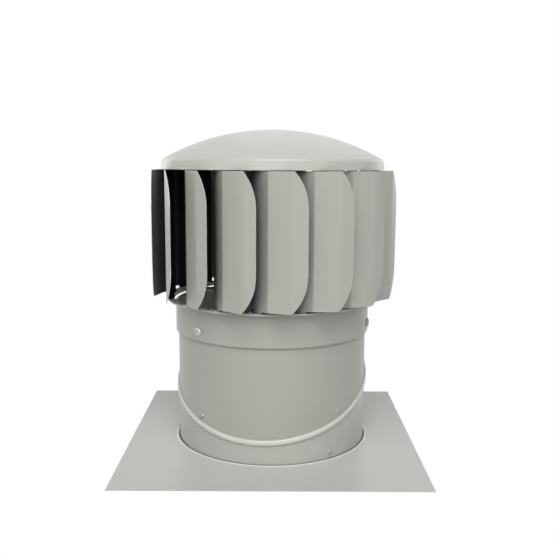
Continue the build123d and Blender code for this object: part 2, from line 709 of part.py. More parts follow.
def blade_places():
    return [Rot(0, 0, blade_pitch * i) for i in range(BLADE_COUNT)]


def blades():
    one = blade()
    return group(place * one for place in blade_places())


def blade_rivet_holes(level):
    hole = rod(BLADE_RIVET_SHANK + ASSEMBLY_GAP, -SHEET - ASSEMBLY_GAP, DISC_THICKNESS + ASSEMBLY_GAP)
    return [place * tab_place(level) * hole for place in blade_places()]


def lower_blade_rivets():
    """Head on the tab, flush under the ring, where the spokes lie."""
    pin = domed_pin(BLADE_RIVET_SHANK, BLADE_SHEET + SHEET, BLADE_RIVET_HEAD, BLADE_RIVET_HEIGHT, 0, 0)
    seat = tab_place(ring_top + BLADE_SHEET)
    return group(place * seat * pin for place in blade_places())


def upper_blade_rivets():
    """Head under the tab, tail on the disc's top."""
    size = (BLADE_RIVET_HEAD, BLADE_RIVET_HEIGHT)
    pin = domed_pin(BLADE_RIVET_SHANK, BLADE_SHEET + DISC_THICKNESS, *size, *size)
    seat = tab_place(disc_bottom - BLADE_SHEET) * Rot(180, 0, 0)
    return group(place * seat * pin for place in blade_places())


# ---- dome ----
def dome_wall(inset):
    """Outline from the rim's corner to the crown, moved in by a wall thickness."""
    rim = dome_radius - inset
    lip_top = rim - DOME_LIP_DRAFT
    apex = dome_rim + DOME_RISE - inset
    crown = DOME_CROWN_RADIUS - inset
    crown_centre = apex - crown
    corner_height = crown_centre + math.sqrt(crown ** 2 - lip_top ** 2)
    bend = DOME_SHOULDER_RADIUS - inset
    lip_run = corner_height - dome_rim
    slope = math.atan2(DOME_LIP_DRAFT, lip_run)
    fall = math.asin(lip_top / crown)
    turn = (math.pi / 2 - slope - fall) / 2
    setback = bend * math.tan(turn)
    start = (lip_top + setback * math.sin(slope), corner_height - setback * math.cos(slope))
    reach = fall - setback / crown
    end = (crown * math.sin(reach), crown_centre + crown * math.cos(reach))
    half = (crown * math.sin(reach / 2), crown_centre + crown * math.cos(reach / 2))
    return rim, start, end, half, apex


def dome():
    """Spun cap: drafted lip, small shoulder and shallow crown, hemmed in under the disc."""
    rim, start, end, half, apex = dome_wall(0)
    inner_rim, inner_start, inner_end, inner_half, inner_apex = dome_wall(SHEET)
    hem = dome_radius - DOME_HEM
    outline = [
        Line((hem, dome_rim), (rim, dome_rim)),
        Line((rim, dome_rim), start),
        Line(start, end),
        ThreePointArc(end, half, (0, apex)),
        Line((0, apex), (0, inner_apex)),
        ThreePointArc((0, inner_apex), inner_half, inner_end),
        Line(inner_end, inner_start),
        Line(inner_start, (inner_rim, disc_bottom)),
        Line((inner_rim, disc_bottom), (hem, disc_bottom)),
        Line((hem, disc_bottom), (hem, dome_rim)),
    ]
    return revolve(Plane.XZ * make_face(outline), axis=Axis.Z)


# ---- every node ----
NODES = {
    "flashing_plate": flashing_plate,
    "lower_neck": lower_neck,
    "foot_rivets": foot_rivets,
    "upper_neck": upper_neck,
    "swivel_clips": swivel_clips,
    "clip_rivets": clip_rivets,
    "collar": collar,
    "collar_screws": collar_screws,
    "collar_nuts": collar_nuts,
    "shaft_bracket": shaft_bracket,
    "shaft": shaft,
    "shaft_sleeve": shaft_sleeve,
    "shaft_washers": shaft_washers,
    "shaft_nuts": shaft_nuts,
    "lower_inner_race": lambda: inner_race(lower_bearing_bottom),
    "upper_inner_race": lambda: inner_race(upper_bearing_bottom),
    "lower_outer_race": lambda: outer_race(lower_bearing_bottom),
    "upper_outer_race": lambda: outer_race(upper_bearing_bottom),
    "lower_bearing_balls": lambda: bearing_balls(lower_bearing_bottom),
    "upper_bearing_balls": lambda: bearing_balls(upper_bearing_bottom),
    "lower_bearing_cage": lambda: bearing_cage(lower_bearing_bottom),
    "upper_bearing_cage": lambda: bearing_cage(upper_bearing_bottom),
    "lower_bearing_shields": lambda: bearing_shields(lower_bearing_bottom),
    "upper_bearing_shields": lambda: bearing_shields(upper_bearing_bottom),
    "lower_bearing_housing": lambda: Pos(0, 0, spoke_top) * housing(),
    "upper_bearing_housing": lambda: upside_down(disc_bottom) * housing(),
    "lower_circlip": lambda: Pos(0, 0, lower_bearing_top) * circlip(),
    "upper_circlip": lambda: upside_down(upper_bearing_bottom) * circlip(),
    "lower_housing_rivets": lambda: Pos(0, 0, spoke_top + HOUSING_FLANGE_THICKNESS)
    * housing_rivets(HOUSING_FLANGE_THICKNESS + SPOKE_THICKNESS),
    "upper_housing_rivets": lambda: upside_down(disc_bottom - HOUSING_FLANGE_THICKNESS)
    * housing_rivets(HOUSING_FLANGE_THICKNESS + DISC_THICKNESS),
    "rotor_spokes": rotor_spokes,
    "spoke_rivets": spoke_rivets,
    "bottom_ring": bottom_ring,
    "blades": blades,
    "lower_blade_rivets": lower_blade_rivets,
    "upper_blade_rivets": upper_blade_rivets,
    "top_disc": top_disc,
    "dome": dome,
}

os.makedirs("parts", exist_ok=True)
for name, make in NODES.items():
    solids = [Pos(0, THROAT_SETBACK, 0) * solid for solid in make().solids()]
    export_step(solids[0] if len(solids) == 1 else group(solids), f"parts/{name}.step")
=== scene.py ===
import math

import bpy
from mathutils import Matrix, Vector


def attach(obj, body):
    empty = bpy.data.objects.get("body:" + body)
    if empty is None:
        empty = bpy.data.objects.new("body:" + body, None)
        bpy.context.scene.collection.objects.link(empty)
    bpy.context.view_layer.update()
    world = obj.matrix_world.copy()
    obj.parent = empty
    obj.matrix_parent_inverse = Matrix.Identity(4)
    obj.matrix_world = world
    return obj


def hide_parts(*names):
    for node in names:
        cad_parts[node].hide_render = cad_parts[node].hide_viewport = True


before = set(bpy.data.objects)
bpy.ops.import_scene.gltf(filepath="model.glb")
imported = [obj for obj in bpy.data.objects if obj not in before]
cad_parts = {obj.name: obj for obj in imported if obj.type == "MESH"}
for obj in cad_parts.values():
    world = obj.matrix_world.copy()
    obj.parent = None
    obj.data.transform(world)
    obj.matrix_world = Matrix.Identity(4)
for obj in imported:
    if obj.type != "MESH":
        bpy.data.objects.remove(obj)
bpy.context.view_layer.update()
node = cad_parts
MM = 0.001


# ---- camera ----
# A 48.5 mm lens on a 36 mm sensor, 1.2 m in front of the shaft and 10 mm above the dome's rim.
# It looks 8.7 degrees down, and is turned a third of a degree about its own axis.
CAMERA_PLACE = (0.00567, -1.18352, 0.44087)
CAMERA_LENS = 48.516
CAMERA_SENSOR = 36.0
CAMERA_PITCH = -8.666
CAMERA_YAW = -0.098
CAMERA_ROLL = 0.312

bpy.ops.object.select_all(action="DESELECT")
bpy.ops.object.camera_add()
camera = bpy.context.object
camera.name = "camera"
camera.data.lens = CAMERA_LENS
camera.data.sensor_width = CAMERA_SENSOR
camera.data.clip_start = 0.05
yaw = Matrix.Rotation(math.radians(CAMERA_YAW), 4, "Z")
pitch = Matrix.Rotation(math.radians(90 + CAMERA_PITCH), 4, "X")
roll = Matrix.Rotation(math.radians(CAMERA_ROLL), 4, "Z")
camera.matrix_world = Matrix.Translation(CAMERA_PLACE) @ yaw @ pitch @ roll
bpy.context.scene.camera = camera
bpy.context.scene.view_settings.view_transform = "Standard"


# ---- studio ----
# A pale floor under the plate, a white surround that lights the part only a little,
# and large soft lamps: two high in front, a weak one at the left and three behind.
FLOOR_SIDE = 12.0
FLOOR_DROP = 0.5 * MM
FLOOR_COLOUR = "#F4F4F2"
SURROUND_GLOW = 0.06
WHITE = (1.0, 1.0, 1.0, 1.0)
AIM = (0.0, 0.0115, 0.26)
LAMPS = {
    # name: place, side in metres, power in watts
    "lamp_over": ((0.1, -1.6, 2.8), 2.0, 29.0),
    "lamp_front": ((0.05, -2.2, 2.0), 2.2, 43.0),
    "lamp_left": ((-2.0, -1.6, 1.6), 1.5, 6.0),
    "lamp_back": ((0.3, 2.4, 2.2), 1.6, 3.0),
    "lamp_back_left": ((-2.0, 2.2, 0.9), 1.4, 11.0),
    "lamp_back_right": ((2.0, 2.2, 0.9), 1.4, 8.0),
}


def linear(hex_colour):
    """sRGB hex value as linear RGBA."""
    channels = [int(hex_colour[i:i + 2], 16) / 255 for i in (1, 3, 5)]
    return [c / 12.92 if c <= 0.04045 else ((c + 0.055) / 1.055) ** 2.4 for c in channels] + [1.0]


def add(tree, kind, settings=None, links=None):
    """One shader node: its properties and plain socket values, then what feeds its sockets."""
    made = tree.nodes.new(kind)
    for key, value in (settings or {}).items():
        if isinstance(key, int) or key in made.inputs:
            made.inputs[key].default_value = value
        else:
            setattr(made, key, value)
    for key, source in (links or {}).items():
        tree.links.new(source, made.inputs[key])
    return made


def blank_material(name):
    """A material with an empty node tree and its output."""
    made = bpy.data.materials.new(name)
    made.use_nodes = True
    made.node_tree.nodes.clear()
    return made, made.node_tree


def seen_directly(tree):
    """1 for what the lens sees straight, in a mirror surface or through glass, 0 for what lights the part."""
    path = add(tree, "ShaderNodeLightPath")
    straight = add(tree, "ShaderNodeMath", {"operation": "MAXIMUM"},
                   {0: path.outputs["Is Camera Ray"], 1: path.outputs["Is Glossy Ray"]})
    return add(tree, "ShaderNodeMath", {"operation": "MAXIMUM"},
               {0: straight.outputs[0], 1: path.outputs["Is Transmission Ray"]}).outputs[0]


world = bpy.data.worlds.new("surround")
world.use_nodes = True
bpy.context.scene.world = world
tree = world.node_tree
tree.nodes.clear()
low = add(tree, "ShaderNodeBackground", {"Color": WHITE, "Strength": SURROUND_GLOW})
white = add(tree, "ShaderNodeBackground", {"Color": WHITE, "Strength": 1.0})
mixed = add(tree, "ShaderNodeMixShader", {}, {0: seen_directly(tree), 1: low.outputs[0], 2: white.outputs[0]})
add(tree, "ShaderNodeOutputWorld", {}, {"Surface": mixed.outputs[0]})

for name, (place, side, power) in LAMPS.items():
    bpy.ops.object.light_add(type="AREA", location=place)
    lamp = bpy.context.object
    lamp.name = name
    lamp.data.size = side
    lamp.data.energy = power
    lamp.rotation_euler = (Vector(AIM) - Vector(place)).to_track_quat("-Z", "Y").to_euler()

bpy.ops.mesh.primitive_plane_add(size=FLOOR_SIDE, location=(0, 0, -FLOOR_DROP))
floor = bpy.context.object
floor.name = "studio_floor"
matt, tree = blank_material("studio_floor_matt")
diffuse = add(tree, "ShaderNodeBsdfDiffuse", {"Color": linear(FLOOR_COLOUR)})
white_sweep = add(tree, "ShaderNodeEmission", {"Color": WHITE, "Strength": 1.0})
chosen = add(tree, "ShaderNodeMixShader", {},
             {0: seen_directly(tree), 1: diffuse.outputs[0], 2: white_sweep.outputs[0]})
add(tree, "ShaderNodeOutputMaterial", {}, {"Surface": chosen.outputs[0]})
floor.data.materials.append(matt)


# ---- flashing plate ----
# Square of galvanised sheet steel that lies on the roof, with a short spigot pressed up in it.
# It is sprayed with a polyester powder coat and baked: the skin is satin, even, and has
# a fine orange peel. The other coated pieces get the same coat.
COAT_COLOUR = "#B7B9B1"
COAT_SHADE = "#B2B4AC"
COAT_ROUGHNESS = 0.32
COAT_SHEEN_SPREAD = 0.04          # roughness, each way
COAT_IOR = 1.5
PLATE_COLOUR = "#CFD1CB"          # a shade lighter, sprayed in another batch
PLATE_SHADE = "#CACCC6"
PEEL_SIZE = 1.6 * MM
PEEL_HEIGHT = 0.02 * MM
PEEL_DETAIL = 1.0
MOTTLE_SIZE = 55 * MM
MOTTLE_DETAIL = 3.0


def object_place(tree):
    """The object's own coordinates, in metres."""
    return add(tree, "ShaderNodeTexCoord").outputs["Object"]


def powder_coat(name, light, dark, roughness, shade=None, ior=COAT_IOR):
    """Satin polyester powder coat; shade, if given, changes its colour from place to place."""
    made, tree = blank_material(name)
    place = object_place(tree)
    mottle = add(tree, "ShaderNodeTexNoise", {"Scale": 1 / MOTTLE_SIZE, "Detail": MOTTLE_DETAIL},
                 {"Vector": place})
    colour = add(tree, "ShaderNodeMix", {"data_type": "RGBA", 6: linear(dark), 7: linear(light)},
                 {0: mottle.outputs["Fac"]}).outputs[2]
    if shade:
        colour = shade(tree, place, colour)
    gloss = add(tree, "ShaderNodeMapRange",
                {"To Min": roughness - COAT_SHEEN_SPREAD, "To Max": roughness + COAT_SHEEN_SPREAD},
                {"Value": mottle.outputs["Fac"]})
    peel = add(tree, "ShaderNodeTexNoise", {"Scale": 1 / PEEL_SIZE, "Detail": PEEL_DETAIL},
               {"Vector": place})
    bump = add(tree, "ShaderNodeBump", {"Strength": 1.0, "Distance": PEEL_HEIGHT},
               {"Height": peel.outputs["Fac"]})
    skin = add(tree, "ShaderNodeBsdfPrincipled", {"IOR": ior},
               {"Base Color": colour, "Roughness": gloss.outputs[0], "Normal": bump.outputs[0]})
    add(tree, "ShaderNodeOutputMaterial", {}, {"Surface": skin.outputs[0]})
    return made


def dress(material, *names):
    """Gives CAD nodes their material."""
    for name in names:
        skin = node[name].data
        skin.materials.clear()
        skin.materials.append(material)


coat = powder_coat("powder_coated_sheet_steel", COAT_COLOUR, COAT_SHADE, COAT_ROUGHNESS)
plate_coat = powder_coat("powder_coated_galvanised_plate", PLATE_COLOUR, PLATE_SHADE, COAT_ROUGHNESS)
dress(plate_coat, "flashing_plate")


# ---- lower neck and its rivets ----
# Rolled steel sheet, its foot turned out on the plate and its top turned in to a sloping flange.
# The foot's lip has a painted highlight at its edge, and painted shade in the corner inside it.
# Three blind rivets hold the neck to the plate's spigot. They were set before the coat was sprayed.
AXIS = 11.5 * MM                  # the upright axis stands this far behind the plate's centre
NECK_RADIUS = 150.8 * MM
RIVET_HEAD = 4.4 * MM
RIVET_SHANK = 2.0 * MM
RIVET_RIM = 0.35 * MM
RIVET_STEPS = (                   # inward, outward: the dome from its rim to the mandrel's hole
    (0.4 * MM, 0.75 * MM),
    (0.6 * MM, 0.55 * MM),
    (0.8 * MM, 0.36 * MM),
    (0.7 * MM, 0.12 * MM),
    (0.15 * MM, -0.20 * MM),
    (0.15 * MM, -1.20 * MM),
    (0.30 * MM, 0.0),
    (0.06 * MM, 0.35 * MM),
)
FOOT_RIVETS = ((35.8, 11.3 * MM), (155.8, 11.3 * MM), (275.8, 11.3 * MM))   # azimuth, height
FOOT_RIVET_GRIP = 1.6 * MM
TAIL_BEVEL = 0.5 * MM
TAIL_BEVEL_SEGMENTS = 3
HEAD_SIDES = 32
SHANK_SIDES = 24
SMOOTH_ANGLE = math.radians(35)
LEVEL_FACE = 0.9                  # a cylinder's end faces up by more than this
LIP_OUTER = 156.6 * MM
LIP_CORNER = 153.7 * MM
LIP_INNER = 150.9 * MM
LIP_THICKNESS = 0.9 * MM
LIP_BEVEL = 0.25 * MM
LIP_BEVEL_SEGMENTS = 2
LIP_SIDES = 144
# painted highlight on the lip's edge, then painted shade in the corner inside the lip
LIP_EDGE_HIGHLIGHT = "#F4F5F0"
LIP_EDGE_HIGHLIGHT_DARK = "#ECEDE8"
LIP_ROUGHNESS = 0.33
CORNER_PAINTED_SHADE = "#62645E"
CORNER_PAINTED_SHADE_DARK = "#5A5C56"
CORNER_ROUGHNESS = 0.7
# A lighter copy of the coat on the lower neck: painted light, for light bounced up from the plate.
NECK_LIT_COLOUR = "#C7C9C2"
NECK_LIT_DARK = "#C1C3BC"
PLATE_TOP = 1.0 * MM


def only(piece):
    """Makes one object the selected and active one."""
    bpy.ops.object.select_all(action="DESELECT")
    piece.select_set(True)
    bpy.context.view_layer.objects.active = piece


def stepped_face(piece, steps):
    """Insets a cylinder's top face again and again, each time inward and up or down."""
    only(piece)
    bpy.ops.object.mode_set(mode="EDIT")
    bpy.ops.mesh.select_mode(type="FACE")
    bpy.ops.mesh.select_all(action="DESELECT")
    bpy.ops.object.mode_set(mode="OBJECT")
    top = max(piece.data.polygons, key=lambda face: face.center.z * (face.normal.z > LEVEL_FACE))
    top.select = True
    bpy.ops.object.mode_set(mode="EDIT")
    for inward, rise in steps:
        bpy.ops.mesh.inset(thickness=inward, depth=rise)
    bpy.ops.object.mode_set(mode="OBJECT")


def joined(pieces, name):
    """Several objects as one, with its place in its mesh."""
    bpy.ops.object.select_all(action="DESELECT")
    for piece in pieces:
        piece.select_set(True)
    bpy.context.view_layer.objects.active = pieces[0]
    bpy.ops.object.join()
    whole = bpy.context.object
    whole.name = name
    bpy.ops.object.transform_apply(location=True, rotation=True, scale=True)
    return whole


def blind_rivet(grip, tail_radius, tail):
    """Domed head on Z = 0 with its mandrel's hole, the shank below it, and the upset tail."""
    bpy.ops.mesh.primitive_cylinder_add(vertices=HEAD_SIDES, radius=RIVET_HEAD, depth=RIVET_RIM,
                                        location=(0, 0, RIVET_RIM / 2))
    head = bpy.context.object
    bpy.ops.object.transform_apply(location=True, rotation=True, scale=True)
    stepped_face(head, RIVET_STEPS)
    bpy.ops.mesh.primitive_cylinder_add(vertices=SHANK_SIDES, radius=RIVET_SHANK, depth=grip,
                                        location=(0, 0, -grip / 2))
    parts = [head, bpy.context.object]
    if tail:
        bpy.ops.mesh.primitive_cylinder_add(vertices=SHANK_SIDES, radius=tail_radius, depth=tail,
                                            location=(0, 0, -grip - tail / 2))
        upset = bpy.context.object
        only(upset)
        bpy.ops.object.modifier_add(type="BEVEL")
        upset.modifiers[0].width = TAIL_BEVEL
        upset.modifiers[0].segments = TAIL_BEVEL_SEGMENTS
        bpy.ops.object.modifier_apply(modifier=upset.modifiers[0].name)
        parts.append(upset)
    return joined(parts, "blind_rivet")


def on_wall(azimuth, radius, height):
    """Place on a round wall, with local +Z pointing away from the axis."""
    turn = Matrix.Rotation(math.radians(azimuth), 4, "Z")
    out = Matrix.Rotation(math.radians(90), 4, "X")
    return Matrix.Translation((0, AXIS, 0)) @ turn @ Matrix.Translation((0, -radius, height)) @ out


def set_fasteners(pattern, name, places, material, body, cad_node=None):
    """One copy of the pattern at each place, as one piece, which may stand for a CAD node."""
    copies = []
    for place in places:
        copy = bpy.data.objects.new(name, pattern.data.copy())
        bpy.context.collection.objects.link(copy)
        copy.data.transform(place)
        copies.append(copy)
    bpy.data.objects.remove(pattern)
    whole = joined(copies, name)
    only(whole)
    bpy.ops.object.shade_smooth_by_angle(angle=SMOOTH_ANGLE)
    whole.data.materials.clear()
    whole.data.materials.append(material)
    if cad_node:
        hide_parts(cad_node)
    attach(whole, body)
    return whole


# The same satin coat all over, painted a shade lighter on this neck for light bounced up from the plate.
# The lip's edge carries a painted highlight, and the corner inside the lip is painted dark and dull as its
# shade.
lit_neck_coat = powder_coat("powder_coat_painted_lighter_on_neck", NECK_LIT_COLOUR, NECK_LIT_DARK, COAT_ROUGHNESS)
dress(lit_neck_coat, "lower_neck")
rivet_coat = powder_coat("powder_coated_rivet", COAT_COLOUR, COAT_SHADE, COAT_ROUGHNESS)
lip_edge_highlight = powder_coat("painted_highlight_on_lip_edge", LIP_EDGE_HIGHLIGHT, LIP_EDGE_HIGHLIGHT_DARK, LIP_ROUGHNESS)
lip_corner_shade = powder_coat("painted_shade_in_lip_corner", CORNER_PAINTED_SHADE, CORNER_PAINTED_SHADE_DARK, CORNER_ROUGHNESS)
bpy.ops.object.select_all(action="DESELECT")
bpy.ops.mesh.primitive_circle_add(vertices=LIP_SIDES, radius=LIP_OUTER, fill_type="NGON",
                                  location=(0, AXIS, PLATE_TOP))
foot_lip = bpy.context.object
foot_lip.name = "foot_lip"
bpy.ops.object.transform_apply(location=True, rotation=True, scale=True)
bpy.ops.object.mode_set(mode="EDIT")
bpy.ops.mesh.select_mode(type="FACE")
bpy.ops.mesh.select_all(action="SELECT")
bpy.ops.mesh.inset(thickness=LIP_OUTER - LIP_CORNER)
bpy.ops.mesh.inset(thickness=LIP_CORNER - LIP_INNER)
bpy.ops.mesh.delete(type="FACE")
bpy.ops.mesh.select_all(action="SELECT")
bpy.ops.mesh.extrude_region_move(TRANSFORM_OT_translate={"value": (0, 0, LIP_THICKNESS)})
bpy.ops.mesh.select_all(action="SELECT")
bpy.ops.mesh.normals_make_consistent(inside=False)
bpy.ops.object.mode_set(mode="OBJECT")
bpy.ops.object.modifier_add(type="BEVEL")
foot_lip.modifiers[0].width = LIP_BEVEL
foot_lip.modifiers[0].segments = LIP_BEVEL_SEGMENTS
foot_lip.modifiers[0].limit_method = "ANGLE"
bpy.ops.object.modifier_apply(modifier=foot_lip.modifiers[0].name)
bpy.ops.object.shade_smooth_by_angle(angle=SMOOTH_ANGLE)
for material in (lip_edge_highlight, lip_corner_shade):
    foot_lip.data.materials.append(material)
# Faces inside the corner's radius take the painted shade, the rest the painted highlight.
for face in foot_lip.data.polygons:
    inside = Vector((face.center.x, face.center.y - AXIS)).length < LIP_CORNER
    face.material_index = 1 if inside else 0
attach(foot_lip, "base")

set_fasteners(
    blind_rivet(FOOT_RIVET_GRIP, 0, 0), "foot_blind_rivets",
    [on_wall(azimuth, NECK_RADIUS, height) for azimuth, height in FOOT_RIVETS],
    rivet_coat, "base", "foot_rivets")


# ---- upper neck, its clips and their rivets ----
# Rolled steel sheet with a bead rolled round its foot, above a flange that lies on the lower one.
# Four zinc-plated clips inside pinch the two flanges, so that the neck turns on its slope.
# Each clip's rivet shows outside; the bright one is bare aluminium and the rest are coated.
SLOPE = 24.2
SLOPE_AZIMUTH = -6.8
JOINT_HEIGHT = 99.772 * MM
CLIP_AZIMUTHS = (-44.1, 41.9, 135.9, 221.9)
CLIP_RIVET_RISE = 16.0 * MM
CLIP_RIVET_GRIP = 2.1 * MM
CLIP_RIVET_TAIL = (3.0 * MM, 1.4 * MM)
# painted highlight on the bead's crown
BEAD_HIGHLIGHT_COLOUR = "#DCDED7"
BEAD_REACH = (151.6 * MM, 153.2 * MM)   # from the axis: the plain coat, and the bead's crown under the full painted highlight
METAL_SHEEN_SPREAD = 0.06
CLOUD_DETAIL = 4.0
ZINC = ("#CFD0CC", "#BCBDB8", 0.35, 9 * MM)     # light, dark, roughness, grain
RIVET_ALUMINIUM = ("#B4B4B0", "#9A9A96", 0.34, 4 * MM)


def metal(name, light, dark, roughness, grain):
    """Bare or plated metal with a fine uneven sheen."""
    made, tree = blank_material(name)
    place = object_place(tree)
    cloud = add(tree, "ShaderNodeTexNoise", {"Scale": 1 / grain, "Detail": CLOUD_DETAIL},
                {"Vector": place})
    colour = add(tree, "ShaderNodeMix", {"data_type": "RGBA", 6: linear(dark), 7: linear(light)},
                 {0: cloud.outputs["Fac"]})
    gloss = add(tree, "ShaderNodeMapRange",
                {"To Min": roughness - METAL_SHEEN_SPREAD, "To Max": roughness + METAL_SHEEN_SPREAD},
                {"Value": cloud.outputs["Fac"]})
    skin = add(tree, "ShaderNodeBsdfPrincipled", {"Metallic": 1.0},
               {"Base Color": colour.outputs[2], "Roughness": gloss.outputs[0]})
    add(tree, "ShaderNodeOutputMaterial", {}, {"Surface": skin.outputs[0]})
    return made


def share_of_reach(tree, place, reach, most):
    """0 up to the first distance from the upright axis, rising to the most at the second."""
    flat = add(tree, "ShaderNodeMapping", {"Location": (0, -AXIS, 0), "Scale": (1, 1, 0)}, {"Vector": place})
    away = add(tree, "ShaderNodeVectorMath", {"operation": "LENGTH"}, {0: flat.outputs[0]})
    return add(tree, "ShaderNodeMapRange", {"interpolation_type": "SMOOTHSTEP", "From Min": reach[0],
                                            "From Max": reach[1], "To Max": most},
               {"Value": away.outputs["Value"]}).outputs[0]


def painted_bead_highlight(tree, place, colour):
    """The coat, with a painted highlight on the bead's crown."""
    return add(tree, "ShaderNodeMix", {"data_type": "RGBA", 7: linear(BEAD_HIGHLIGHT_COLOUR)},
               {0: share_of_reach(tree, place, BEAD_REACH, 1.0), 6: colour}).outputs[2]


def slope_height(azimuth):
    """Height of the sloping joint on the neck's wall."""
    fall = math.tan(math.radians(SLOPE)) * math.cos(math.radians(azimuth - SLOPE_AZIMUTH))
    return JOINT_HEIGHT - NECK_RADIUS * fall


# Bright zinc is a clean silver with a faint cloudy sheen, and bare aluminium is duller. The coat
# has a painted highlight along the bead's crown.
zinc = metal("bright_zinc_plate_on_steel", *ZINC)
bare_rivet = metal("bright_rivet_aluminium", *RIVET_ALUMINIUM)
beaded_coat = powder_coat("powder_coat_with_painted_bead_highlight", COAT_COLOUR, COAT_SHADE, COAT_ROUGHNESS, painted_bead_highlight)
dress(beaded_coat, "upper_neck")
dress(zinc, "swivel_clips")
clip_rivet_places = [on_wall(azimuth, NECK_RADIUS, slope_height(azimuth) + CLIP_RIVET_RISE)
                     for azimuth in CLIP_AZIMUTHS]
set_fasteners(
    blind_rivet(CLIP_RIVET_GRIP, *CLIP_RIVET_TAIL), "clip_rivet_bare",
    clip_rivet_places[:1], bare_rivet, "swivel_neck", "clip_rivets")
set_fasteners(
    blind_rivet(CLIP_RIVET_GRIP, *CLIP_RIVET_TAIL), "clip_rivets_coated",
    clip_rivet_places[1:], rivet_coat, "swivel_neck")


# ---- collar and its screws ----
# Steel band pushed over the neck's swaged mouth, its top edge turned in over the neck's.
# Three pan-head screws go through it and the neck into the shaft's bracket. One has lost its coat.
COLLAR_RADIUS = 154.75 * MM
SCREW_HEIGHT = 192.944 * MM
SCREW_AZIMUTHS = (-44.5, 75.5, 195.5)
SCREW_HEAD = 6.6 * MM
SCREW_RIM = 1.5 * MM
SCREW_STEPS = (                   # inward, outward: the pan's round shoulder, then its crown
    (0.5 * MM, 0.80 * MM),
    (0.9 * MM, 0.50 * MM),
    (1.5 * MM, 0.32 * MM),
    (1.8 * MM, 0.08 * MM),
)
SCREW_SHANK = 2.0 * MM
SCREW_LENGTH = 8.9 * MM
RECESS_ARM = (7.4 * MM, 1.7 * MM, 3.6 * MM)
RECESS_HEIGHT = 3.2 * MM
RECESS_TURNS = (20, 110)


def pan_screw():
    """Pan head on Z = 0 with a cross recess, and the shank below it."""
    bpy.ops.mesh.primitive_cylinder_add(vertices=HEAD_SIDES, radius=SCREW_HEAD, depth=SCREW_RIM,
                                        location=(0, 0, SCREW_RIM / 2))
    head = bpy.context.object
    bpy.ops.object.transform_apply(location=True, rotation=True, scale=True)
    stepped_face(head, SCREW_STEPS)
    for turn in RECESS_TURNS:
        bpy.ops.mesh.primitive_cube_add(size=1, location=(0, 0, RECESS_HEIGHT),
                                        rotation=(0, 0, math.radians(turn)))
        arm = bpy.context.object
        arm.scale = RECESS_ARM
        bpy.ops.object.transform_apply(location=True, rotation=True, scale=True)
        only(head)
        bpy.ops.object.modifier_add(type="BOOLEAN")
        head.modifiers[0].object = arm
        head.modifiers[0].operation = "DIFFERENCE"
        bpy.ops.object.modifier_apply(modifier=head.modifiers[0].name)
        bpy.data.objects.remove(arm)
    bpy.ops.mesh.primitive_cylinder_add(vertices=SHANK_SIDES, radius=SCREW_SHANK, depth=SCREW_LENGTH,
                                        location=(0, 0, -SCREW_LENGTH / 2))
    return joined([head, bpy.context.object], "pan_screw")


dress(coat, "collar")
dress(zinc, "collar_nuts")
screw_places = [on_wall(azimuth, COLLAR_RADIUS, SCREW_HEIGHT) for azimuth in SCREW_AZIMUTHS]
set_fasteners(pan_screw(), "collar_screw_bright", screw_places[:1], zinc, "swivel_neck", "collar_screws")
set_fasteners(pan_screw(), "collar_screws_coated", screw_places[1:], rivet_coat, "swivel_neck")


# ---- bracket and shaft ----
# A three-armed bracket of plated strip carries the fixed shaft, a ground steel bar.
# Nuts and washers hold it, and an aluminium sleeve spaces the lower bearing from the bracket.
GROUND_STEEL = ("#A9A9A8", "#9A9A99", 0.34, 5 * MM)
TURNED_ALUMINIUM = ("#C4C4C2", "#B4B4B2", 0.34, 8 * MM)

# Ground steel is an even, darker grey, and turned aluminium is pale with a soft sheen.
ground_steel = metal("ground_bearing_steel", *GROUND_STEEL)
turned_aluminium = metal("turned_aluminium", *TURNED_ALUMINIUM)
dress(zinc, "shaft_bracket", "shaft_washers", "shaft_nuts")
dress(ground_steel, "shaft")
dress(turned_aluminium, "shaft_sleeve")


# ---- bearings and their housings ----
# Two sealed ball bearings of ground steel, each held in a turned aluminium housing by a circlip.
# Bright rivets hold the lower housing on the spokes and the upper one under the disc.
dress(ground_steel,
      "lower_inner_race", "upper_inner_race", "lower_outer_race", "upper_outer_race",
      "lower_bearing_balls", "upper_bearing_balls", "lower_bearing_cage", "upper_bearing_cage",
      "lower_bearing_shields", "upper_bearing_shields", "lower_circlip", "upper_circlip")
dress(turned_aluminium, "lower_bearing_housing", "upper_bearing_housing")
dress(bare_rivet, "lower_housing_rivets", "upper_housing_rivets")


# ---- spokes and bottom ring ----
# Four plated steel spokes reach out from the lower housing and are riveted under the ring.
# The ring is pressed from steel sheet and coated, and carries the blades' feet.
dress(zinc, "rotor_spokes")
dress(coat, "bottom_ring")
dress(rivet_coat, "spoke_rivets")


# ---- blades and their rivets ----
# Seventeen strips of aluminium sheet, sheared to shape, bent twice and riveted between ring and disc.
# The coat is even on the outer faces, with painted shade that darkens it toward the fold and into the
# drum. The faces that look into the drum are painted dark as their shade, and the sheared edges carry
# a painted highlight.
BLADE_SHEET = 0.8 * MM
MERGE = 0.001 * MM
PLACE_STEP = 0.01 * MM
# painted shade on the faces that look into the drum
INSIDE_PAINTED_SHADE = "#8E908B"
INSIDE_PAINTED_SHADE_DARK = "#80827D"
INSIDE_ROUGHNESS = 0.7
INSIDE_REACH = (166 * MM, 195 * MM)   # from the axis: the deepest painted shade, and the inside's lighter painted shade
INSIDE_IOR = 1.2
# painted shade, darkest deep in the drum
DEEP_PAINTED_SHADE = "#121312"
